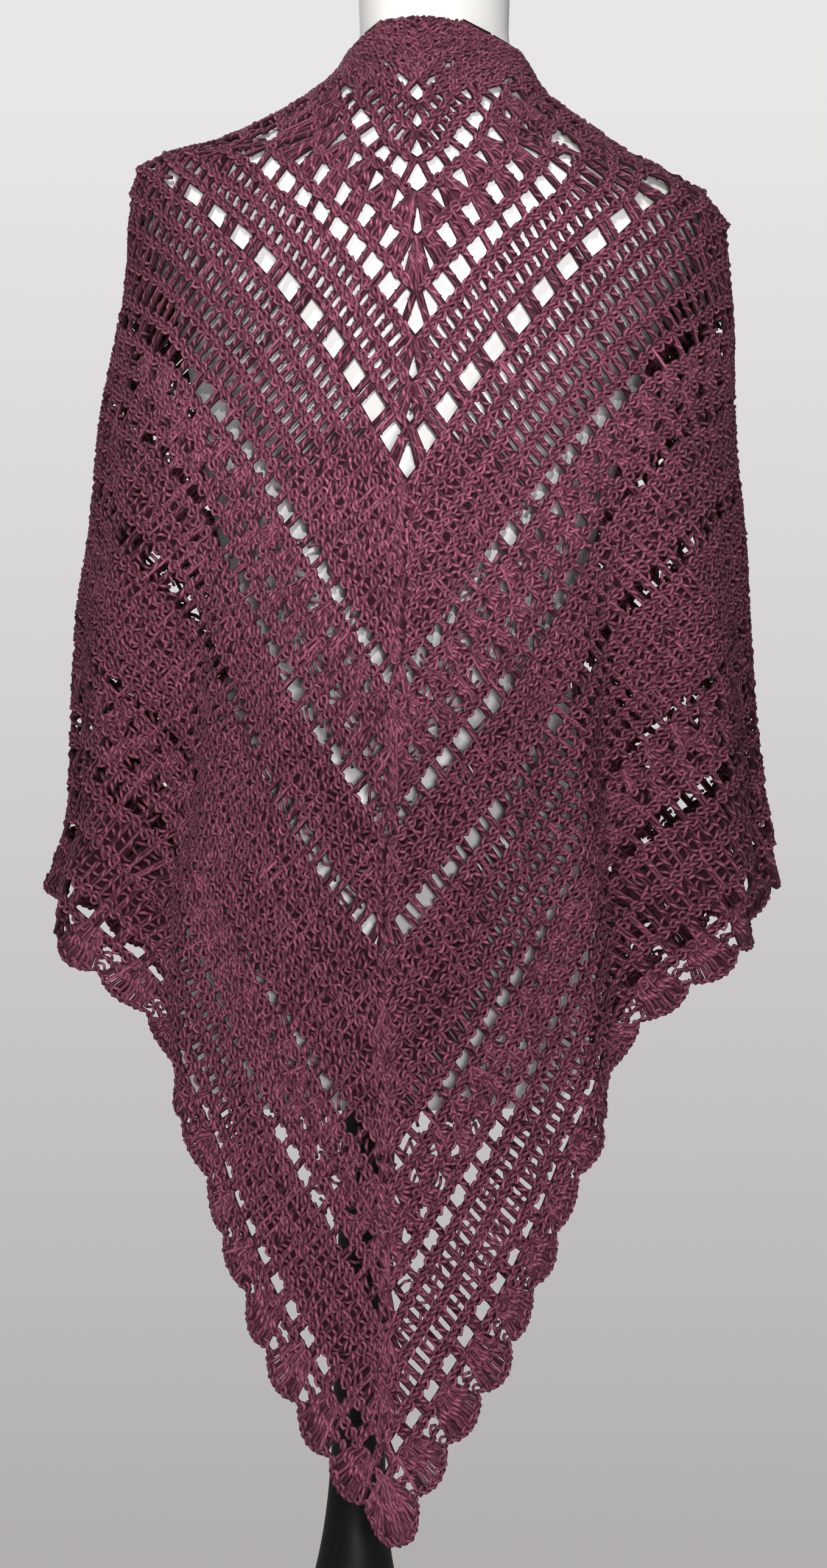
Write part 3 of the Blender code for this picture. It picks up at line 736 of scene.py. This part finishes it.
def arch_row(side, random):
    """The open row under the edging: posts in pairs with long spaces."""
    parts = posts(side, LAST_ROW, ARCH_ROW, *post_places(side, ARCH_ROW), random)
    middle, _ = units(side, ARCH_ROW, STITCH)
    for reach in ARCH_LOOPS:
        parts.append(loops(side, LAST_ROW, ARCH_ROW, middle, reach, random))
    return parts + chain(side, LAST_ROW, ARCH_ROW, 0, row_length(side, ARCH_ROW), random)


def scallop(side, at):
    """How far towards the hem line the edging reaches: a rounded sine that dips between shells."""
    length = row_length(side, HEM_ROW)
    wave = np.abs(np.sin(np.pi * at / length * round(length / SHELL_UNIT)))
    return 1 - SHELL_DEPTH * (1 - wave**SHELL_ROUNDNESS)


def shell_row(side, random):
    """Fans of tall posts, with chains across their middle and over their tops."""
    length = row_length(side, HEM_ROW)
    count = round(length / SHELL_UNIT)
    width = length / count
    middle = (np.arange(count) + 0.5) * width
    base, top = (spread_over(middle, width, shares) for shares in (SHELL_FEET, SHELL_TOPS))
    rise = scallop(side, top) * 0.97
    parts = posts(side, ARCH_ROW, HEM_ROW, base, top, random, rise, plump=1.08)
    at, _ = units(side, HEM_ROW, STITCH)
    for share in (0.5, 1.0):
        parts += chain(
            side, ARCH_ROW, HEM_ROW, 0, length, random, rise=lambda at: share * scallop(side, at)
        )
        rise = share * scallop(side, at)
        parts.append(loops(side, ARCH_ROW, HEM_ROW, at, SHELL_LOOP, random, rise))
    return parts


# %% [markdown]
# The front edges and the neck are bound by a chain, as a maker would finish them. The path of the
# front edge joins the front ends of all the rows.

# %% Edge chains
EDGE_ROWS = np.linspace(0, 36.3, 330)
EDGE_TURN, EDGE_WIND = 10.5 * MM, 1.4 * MM


def edge_chain(side, random):
    """Two strands that wind along the front ends of the rows."""
    at = smooth(ROWS[:, 0], ROWS[:, 1:], EDGE_ROWS)
    turn = at[:, -1]
    drop = np.diagonal(smooth(ROW_TURNS, at[:, :-1].T, turn))  # each row's drop at its own end
    normal = outward(side, turn, drop)
    spot = cloth(side, turn, drop) + normal * MIDDLE_OF_CLOTH
    return wound(spot, normal, lengths_along(spot), EDGE_TURN, EDGE_WIND, random)


# %% [markdown]
# Each half is worked in four bands and its edging, from the neck down. One piece for the whole
# cloth would be too heavy a mesh to handle or to save, and bands can also be looked at on their
# own.

# %% Work the shawl in bands
BANDS = {
    "upper": range(1, BACK_ROWS[0]),
    "middle": range(BACK_ROWS[0], 22),
    "lower": range(22, BACK_ROWS[-1] + 1),
    "low": range(BACK_ROWS[-1] + 1, LAST_ROW + 1),
}
NECK_CHAIN_WIND = 1.8 * MM
SIDE_NAMES = {-1: "left", 1: "right"}
yarn_pieces = []
for side, side_name in SIDE_NAMES.items():
    random = np.random.default_rng(20 + side)
    for band, rows in BANDS.items():
        parts = []
        for row in rows:
            parts += worked_row(side, row, random)
        if band == "upper":
            parts += chain(side, 0, 0, 0, row_length(side, 0), random, wind=NECK_CHAIN_WIND)
            parts += edge_chain(side, random)
        body = f"shawl_body_{side_name}"
        yarn_pieces.append(yarn_piece(f"stitches_{band}_{side_name}", parts, body))
    parts = arch_row(side, random) + shell_row(side, random)
    nodes = (body, f"shell_edging_{side_name}")
    yarn_pieces.append(yarn_piece(f"shells_{side_name}", parts, *nodes))

# %% [markdown]
# ## Shader maths
#
# A material is easier to read as an expression than as a web of nodes. This small class wraps a
# socket, so that adding or multiplying two of them adds the Math node for it. The reflected forms
# let a number stand first, as in 1 - mask.

# %% A socket that does maths
class Socket:
    """A node's output that can be used in sums, products, quotients and powers."""

    def __init__(self, tree, socket):
        self.tree, self.socket = tree, socket

    def node(self, kind, values=(), output=0, **settings):
        """Adds a node of this kind: its settings first, then its inputs' values or links."""
        node = self.tree.nodes.new(kind)
        for name, value in settings.items():
            setattr(node, name, value)
        for place, value in dict(values).items():
            if isinstance(value, Socket):
                self.tree.links.new(value.socket, node.inputs[place])
            else:
                node.inputs[place].default_value = value
        return Socket(self.tree, node.outputs[output])

    def math(self, operation, *values):
        """A Math node on these values."""
        return self.node("ShaderNodeMath", enumerate(values), operation=operation)

    def __add__(self, other):
        return self.math("ADD", self, other)

    __radd__ = __add__

    def __sub__(self, other):
        return self.math("SUBTRACT", self, other)

    def __rsub__(self, other):
        return self.math("SUBTRACT", other, self)

    def __mul__(self, other):
        return self.math("MULTIPLY", self, other)

    __rmul__ = __mul__

    def __truediv__(self, other):
        return self.math("DIVIDE", self, other)

    def __rtruediv__(self, other):
        return self.math("DIVIDE", other, self)

    def __pow__(self, other):
        return self.math("POWER", self, other)

    def __rpow__(self, other):
        return self.math("POWER", other, self)

    def clamp(self, low=0.0, high=1.0):
        """The value kept between two limits."""
        return self.math("MINIMUM", self.math("MAXIMUM", self, low), high)

    def sine(self, ahead=0.0):
        """The sine of the value, moved on by an angle."""
        return self.math("SINE", self + ahead)

    def size(self):
        """The value without its sign."""
        return self.math("ABSOLUTE", self)

    def part(self, number):
        """One of the three numbers of a vector: 0, 1 or 2."""
        return self.node("ShaderNodeSeparateXYZ", {0: self}, output=number)

    def noise(self, scale, detail=2.0):
        """Cloudy noise over this vector, by its scale and its number of finer layers."""
        return self.node("ShaderNodeTexNoise", {"Vector": self, "Scale": scale, "Detail": detail})

    def mix(self, first, second):
        """A colour between two colours, by this value."""
        values = {0: self, 6: first, 7: second}
        return self.node("ShaderNodeMix", values, output=2, data_type="RGBA")


# %% New materials
def new_material(name, **constants):
    """A material, a socket to build from, and its Principled shader with constants set."""
    material = bpy.data.materials.new(name)
    material.use_nodes = True
    tree = material.node_tree
    shader = tree.nodes["Principled BSDF"]
    for place, value in constants.items():
        shader.inputs[place.replace("_", " ")].default_value = value
    start = Socket(tree, tree.nodes.new("ShaderNodeTexCoord").outputs["Object"])
    return material, start, shader


def feed(shader, place, value):
    """Links a socket into one of the shader's inputs."""
    value.tree.links.new(value.socket, shader.inputs[place])


# %% [markdown]
# ## Yarn material
#
# The yarn is a soft plied wool mix in a dusty plum. Three things make it read as yarn: the plies'
# spiral, which is a sine across the UVs, a slow change of colour along the skein, and a faint
# sheen for the short hairs that stand off it. Two masks paint shade into its colour, as light would
# fall on a deep cloth. The first is 1 on the two lines of a strand that face out of the cloth, on
# either side of it, and falls to 0 at its flanks, which get the painted shade. *deep* also asks how
# far out of the cloth's middle the strand itself lies, and paints shade on the yarn that lies deep.

# %% Plum yarn
PLUM_SHADE = (0.052, 0.010, 0.019, 1.0)
PLUM_LIGHT = (0.475, 0.138, 0.213, 1.0)
# the colour of the painted shade on the strands' flanks and on yarn deep in the cloth
PLUM_PAINTED_SHADE = (0.012, 0.001, 0.004, 1.0)
DEEPEST, HIGHEST = 0.4 * MM, 3.2 * MM  # heights off the cloth's middle, dark and fully lit


def yarn_material():
    """Plies as a slanted sine over the UV, noise as fibres and blotches, painted shade where deep.
    """
    material, place, shader = new_material(
        "plum_yarn", Roughness=0.88, Specular_IOR_Level=0.16,
        Sheen_Weight=0.06, Sheen_Roughness=0.5, Sheen_Tint=(0.95, 0.60, 0.75, 1.0),
    )
    uv = place.node("ShaderNodeUVMap", uv_map="yarn")
    around, along = uv.part(0), uv.part(1)
    ply = ((around * 2 + along) * (2 * math.pi)).sine() * 0.5 + 0.5
    fibre, blotch = place.noise(1500.0), place.noise(30.0, 3.0)
    tone = place.node("ShaderNodeAttribute", output=2, attribute_name="tone")
    height = place.node("ShaderNodeAttribute", output=2, attribute_name="height")
    # painted shade: darker on a strand's flanks and on the yarn that lies deep in the cloth
    facing = (around * (2 * math.pi)).sine(0.75 * math.pi).size()
    painted_light_ridge = ((facing - 0.70) / 0.26).clamp()
    painted_light_by_height = ((height.size() + DEEPEST) / (DEEPEST + HIGHEST)).clamp() ** 1.3
    deep = painted_light_by_height * (painted_light_ridge * 0.72 + 0.28)
    light = (ply * 0.30 + fibre * 0.30 + blotch * 0.25 + tone * 0.35 - 0.12).clamp()
    strand = light.mix(PLUM_SHADE, PLUM_LIGHT)
    feed(shader, "Base Color", deep.mix(PLUM_PAINTED_SHADE, strand))
    bump = place.node(
        "ShaderNodeBump", {"Height": ply * 0.8 + fibre * 0.35, "Strength": 0.5, "Distance": 0.0006}
    )
    feed(shader, "Normal", bump)
    return material


plum_yarn = yarn_material()
for piece in yarn_pieces:
    piece.data.materials.append(plum_yarn)
print("plum_yarn has", len(plum_yarn.node_tree.nodes), "nodes")

# %% [markdown]
# ## The cloth under the strands
#
# Between the strands of a real stitch there is more yarn: the loops at the back. A thin web of
# ribbons stands in for them, one under each post and one under each chain. It is the sheet of
# cloth that the strands lie on, and it is open wherever the crochet is open. It takes the yarn's
# painted shade, so it is dark from both sides and stands for the shade between the strands too.

# %% The web's ribbons
CHAIN_RIBBON = 3.6 * MM  # half widths
POST_RIBBON, SHUT_RIBBON = 2.6 * MM, 2.2 * MM  # the second is added where the cloth has closed up
# painted shade: a low tone and a height of 0 give the web the dark colour of deep yarn
WEB_TONE, WEB_HEIGHT = 0.2, 0.0  # it lies in the middle of the cloth, so it is dark from both sides


def ribbon(edges):
    """Strips of quads between the two edges of each path, from (strips, points, 2, 3)."""
    strips, steps = edges.shape[:2]
    index = np.arange(strips * steps * 2).reshape(strips, steps, 2)
    left, right = index[..., 0], index[..., 1]
    quads = np.stack([left[:, :-1], right[:, :-1], right[:, 1:], left[:, 1:]], axis=-1)
    points = edges.reshape(-1, 3)
    # UVs of 0 give the web the painted shade of a strand's flank
    no_uvs, no_caps = np.zeros((quads.size, 2)), np.zeros((0, 4), int)
    tone, height = np.full(len(points), WEB_TONE), np.full(len(points), WEB_HEIGHT)
    return points, quads.reshape(-1, 4), no_uvs, no_caps, tone, height


def post_ribbons(side, above, row, base, top):
    """Ribbons under the posts, widened where the cloth has closed up."""
    start, end, _, sideways = post_lines(side, above, row, base, top)
    shut = 0 if row in OPEN_ROWS + (ARCH_ROW,) else closed(place(row_line(side, row), top)[0])
    half = np.broadcast_to(POST_RIBBON + SHUT_RIBBON * shut, len(base))
    points = np.stack([start, end], axis=1)
    reach = (sideways * half[:, None])[:, None]
    return ribbon(np.stack([points + reach, points - reach], axis=2))


def chain_ribbon(side, row):
    """A ribbon under a row's chain."""
    length = row_length(side, row)
    at = np.linspace(0, length, max(4, int(length / STITCH)))
    points, normal = place(row_line(side, row), at)
    sideways = unit(np.cross(normal, unit(np.gradient(points, axis=0)))) * CHAIN_RIBBON
    return ribbon(np.stack([points + sideways, points - sideways], axis=1)[None])


def web_row(side, above, row):
    """The ribbons of one row."""
    return [post_ribbons(side, above, row, *post_places(side, row)), chain_ribbon(side, row)]


# %% Lay the web
ROW_STEPS = [(row - 1, row) for row in range(1, LAST_ROW + 1)] + [(LAST_ROW, ARCH_ROW)]
parts = []
for side in SIDE_NAMES:
    for above, row in ROW_STEPS:
        parts += web_row(side, above, row)
web = yarn_piece("shawl_web", parts)
web.data.materials.append(plum_yarn)

# %% [markdown]
# ## The dress form
#
# The form is limbless, and its cover is a tight plain-woven cloth, pulled smooth. The packed
# solid has the right shape and place, but each of its facets has its own corners, so it would be
# shaded like a cut stone. Joining the corners that share a place lets the shading run smoothly
# over it.

# %% The form's woven cover
THREADS = 3600.0  # the sines' angle over a metre, which makes a thread every 0.87 mm


def cover_material():
    """A plain weave: the product of two fine sines, one across and one up the form."""
    material, place, shader = new_material(
        "form_cover_weave", Roughness=0.8, Specular_IOR_Level=0.25, Sheen_Weight=0.12,
    )
    across, up = place.part(0), place.part(2)
    weave = (across * THREADS).sine() * (up * THREADS).sine() * 0.5 + 0.5
    slub = place.noise(60.0, 4.0)
    light = (weave * 0.3 + slub * 0.7).clamp()
    feed(shader, "Base Color", light.mix((0.74, 0.73, 0.70, 1.0), (0.83, 0.82, 0.79, 1.0)))
    bump = place.node("ShaderNodeBump", {"Height": weave, "Strength": 0.25, "Distance": 0.0002})
    feed(shader, "Normal", bump)
    return material


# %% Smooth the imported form
PLACE_DIGITS = 5  # corners are in the same place if they agree to this many digits of a metre


def smooth_copy(node_name, name, material, slot):
    """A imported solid's triangles again, with corners that share a place joined."""
    node = bpy.data.objects[node_name]
    flat = np.empty(len(node.data.vertices) * 3, np.float32)
    node.data.vertices.foreach_get("co", flat)
    corners = np.empty(len(node.data.loops), np.int32)
    node.data.loops.foreach_get("vertex_index", corners)
    rounded = np.round(flat.reshape(-1, 3), PLACE_DIGITS)
    places, joined = np.unique(rounded, axis=0, return_inverse=True)
    faces = joined.ravel()[corners].reshape(-1, 3)
    whole = (faces != np.roll(faces, 1, axis=1)).all(axis=1)
    mesh = bpy.data.meshes.new(name)
    mesh.from_pydata(places.tolist(), [], faces[whole].tolist())
    mesh.transform(node.matrix_world)
    mesh.materials.append(material)
    mesh.shade_smooth()
    mesh.set_sharp_from_angle(angle=math.radians(45))
    print(name, "has", len(places), "points and", int(whole.sum()), "triangles")
    return new_piece(name, mesh, slot, node_name)


covered_form = smooth_copy("form_torso", "covered_form", cover_material(), "form_cover")

# %% [markdown]
# ## The stand
#
# A pole and a trumpet foot are turned shapes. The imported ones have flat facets, which would show
# in the sheen of satin paint, so both are turned again with many more: a profile of radius
# against height, carried round a circle. The stand leans a little, so each ring also moves across
# by its height.

# %% Satin black paint
def black_material():
    """Near black, with a faint ripple of colour and roughness from noise."""
    material, place, shader = new_material("satin_black", Specular_IOR_Level=0.22)
    grain = place.noise(220.0, 3.0)
    feed(shader, "Base Color", grain.mix((0.002, 0.002, 0.0025, 1.0), (0.006, 0.006, 0.0065, 1.0)))
    feed(shader, "Roughness", grain * 0.2 + 0.42)
    return material


paint = black_material()
print(paint.name, "has", len(paint.node_tree.nodes), "nodes")

# %% Turned shapes
STAND_X, STAND_LEAN = 0.0145, math.tan(math.radians(1.8))


def turned(name, profile, *nodes, round_points=72):
    """A profile of (radius, height) rows round a circle, with its ends closed by one face each."""
    radius, height = np.array(profile).T
    angle = np.arange(round_points) * 2 * np.pi / round_points
    x = STAND_X + STAND_LEAN * height[:, None] + radius[:, None] * np.cos(angle)
    y = radius[:, None] * np.sin(angle)
    points = np.stack([x, y, np.broadcast_to(height[:, None], x.shape)], axis=-1)
    index = np.arange(points.size // 3).reshape(len(height), round_points)
    faces = ring_quads(index[None]).tolist() + [index[0, ::-1].tolist(), index[-1].tolist()]
    mesh = bpy.data.meshes.new(name)
    mesh.from_pydata(points.reshape(-1, 3).tolist(), [], faces)
    mesh.shade_smooth()
    mesh.set_sharp_from_angle(angle=math.radians(40))
    mesh.materials.append(paint)
    print(name, "has", len(faces), "faces")
    return new_piece(name, mesh, "stand_black", *nodes)


# %% Turn the pole and the foot
POLE_RADIUS, POLE_BOTTOM, POLE_GAP = 0.020, 0.330, 0.3 * MM
FOOT_RIM = [(0.157, 0.0), (0.160, 0.003), (0.160, 0.012), (0.159, 0.0155)]
FLARE, FLARE_HEIGHT, FLARE_POWER = 0.135, 0.310, 2.6  # the trumpet is a power of the way down

pole_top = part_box("stand_pole")[1][2]
pole_profile = [(POLE_RADIUS, POLE_BOTTOM + POLE_GAP), (POLE_RADIUS, pole_top)]
turned("painted_pole", pole_profile, "stand_pole")
way_down = np.linspace(1, 0, 40)
flare_radius = POLE_RADIUS + FLARE * way_down**FLARE_POWER
trumpet = np.stack([flare_radius, POLE_BOTTOM - FLARE_HEIGHT * way_down], axis=1)
turned("painted_foot", [*FOOT_RIM, *trumpet], "stand_foot")

# %% [markdown]
# ## The sheet laid flat
#
# Flat on a table, the shawl is the rows laid out again: every row is as long as it is worn, and
# each stands a row's height further out.


def flat_cut():
    """The area: the sum over the rows of their length times the mean distance to the next row."""
    area = 0.0
    for side in SIDE_NAMES:
        for above, row in ROW_STEPS:
            at = np.linspace(0, row_length(side, row), 80)
            start, end, _, _ = post_lines(side, above, row, at, at)
            rise = np.linalg.norm(end - start, axis=1).mean()
            area += rise * (row_length(side, row) + row_length(side, above)) / 2
    return area


sheet_area = flat_cut()
print("flat area", round(sheet_area, 3), "square metres")

# %% [markdown]
# ## Floor, light and camera
#
# A round pale floor is small enough to end below the picture, so the background is the world's
# own colour: pale at the top and darker towards the ground. What the camera sees and what lights
# the yarn are two backgrounds, mixed by the kind of ray, because a wall as bright as the
# photographed one would wash out the shadows between the strands.

# %% Floor
def studio_floor(radius=1.4, round_points=128):
    """A flat round plate: one face through points on a circle, a hair under the stand."""
    angle = np.arange(round_points) * 2 * np.pi / round_points
    x, y = radius * np.cos(angle), radius * np.sin(angle)
    points = np.stack([x, y, np.full(round_points, -0.5 * MM)], axis=1)
    mesh = bpy.data.meshes.new("studio_floor")
    mesh.from_pydata(points.tolist(), [], [list(range(round_points))])
    floor = bpy.data.objects.new("studio_floor", mesh)
    bpy.context.scene.collection.objects.link(floor)
    material, place, shader = new_material("pale_floor", Roughness=0.9)
    speck = place.noise(3.0)
    feed(shader, "Base Color", speck.mix((0.74, 0.735, 0.725, 1.0), (0.78, 0.775, 0.765, 1.0)))
    mesh.materials.append(material)
    print("the floor's radius is", radius, "m")


studio_floor()

# %% World
def studio_world():
    """Two backgrounds: a slow rise of brightness with the height of the view, and an even fill."""
    world = bpy.data.worlds.new("studio")
    world.use_nodes = True
    tree = world.node_tree
    direction = Socket(tree, tree.nodes.new("ShaderNodeTexCoord").outputs["Generated"])
    rise = ((direction.part(2) + 0.16) / 0.26).clamp()  # from 9 degrees under level to 6 over it
    colour = rise.mix((0.36, 0.345, 0.335, 1.0), (0.80, 0.795, 0.785, 1.0))
    seen = direction.node("ShaderNodeBackground", {"Color": colour, "Strength": 1.0})
    pale = (0.86, 0.86, 0.87, 1.0)
    fill = direction.node("ShaderNodeBackground", {"Color": pale, "Strength": 0.26})
    by_camera = direction.node("ShaderNodeLightPath")
    both = direction.node("ShaderNodeMixShader", {0: by_camera, 1: fill, 2: seen})
    tree.links.new(both.socket, tree.nodes["World Output"].inputs["Surface"])
    bpy.context.scene.world = world
    print("the world has", len(tree.nodes), "nodes")


studio_world()

# %% [markdown]
# Three soft square lights and one spot light the shawl. The *key* comes from high on the left and
# draws the stitches' shadows, *front* lifts the lower half, and *behind* keeps the front edges
# from going black in other views. The spot is narrow. It brightens the yoke alone, which the
# photographed room lit best.

# %% Lights
def studio_light(name, kind, place, aim, **settings):
    """A light of a kind at a place, turned to face a point."""
    data = bpy.data.lights.new(name, kind)
    for setting, value in settings.items():
        setattr(data, setting, value)
    lamp = bpy.data.objects.new(name, data)
    lamp.location = place
    lamp.rotation_euler = (Vector(aim) - Vector(place)).to_track_quat("-Z", "Y").to_euler()
    bpy.context.scene.collection.objects.link(lamp)
    print("light", name, "has", data.energy, "W")


WARM = (1.0, 0.985, 0.97)
studio_light(
    "key", "AREA", (-0.45, -2.7, 2.75), (0.07, 0.0, 1.0), size=0.55, energy=82, color=WARM
)
studio_light("front", "AREA", (0.5, -4.6, 0.7), (0.10, 0.0, 0.70), size=0.6, energy=92)
studio_light("behind", "AREA", (-0.6, 2.6, 2.6), (0.065, 0.0, 0.85), size=1.0, energy=40)
studio_light(
    "shoulders", "SPOT", (0.12, -4.2, 1.40), (0.07, 0.0, 1.09), energy=470,
    spot_size=math.radians(8.0), spot_blend=1.0, shadow_soft_size=0.05,
)
bpy.context.scene.view_settings.view_transform = "Standard"

# %% [markdown]
# The photograph was taken from a few metres away, level with the middle of the shawl. So the
# camera is level too, and the lens is worked out from the height of the picture at the cloth: a
# lens is as many times the sensor's height as the distance is times the picture's height.

# %% Camera
SENSOR = 36.0
VIEW_X, VIEW_DISTANCE, VIEW_HEIGHT = 0.065, 5.0, 0.801
PICTURE_HEIGHT = 1.149  # from top to bottom of the photograph, at the form's middle
NEARER = 1.012  # the cloth's back is nearer the camera than that, and looks this much larger
view_camera = bpy.data.cameras.new("view")
view_camera.sensor_fit = "VERTICAL"
view_camera.sensor_height = SENSOR
view_camera.lens = SENSOR * VIEW_DISTANCE / (PICTURE_HEIGHT * NEARER)
camera = bpy.data.objects.new("view", view_camera)
camera.location = (VIEW_X, -VIEW_DISTANCE, VIEW_HEIGHT)
camera.rotation_euler = (math.pi / 2, 0, 0)
bpy.context.scene.collection.objects.link(camera)
bpy.context.scene.camera = camera
print("the lens is", round(view_camera.lens, 1), "mm long")
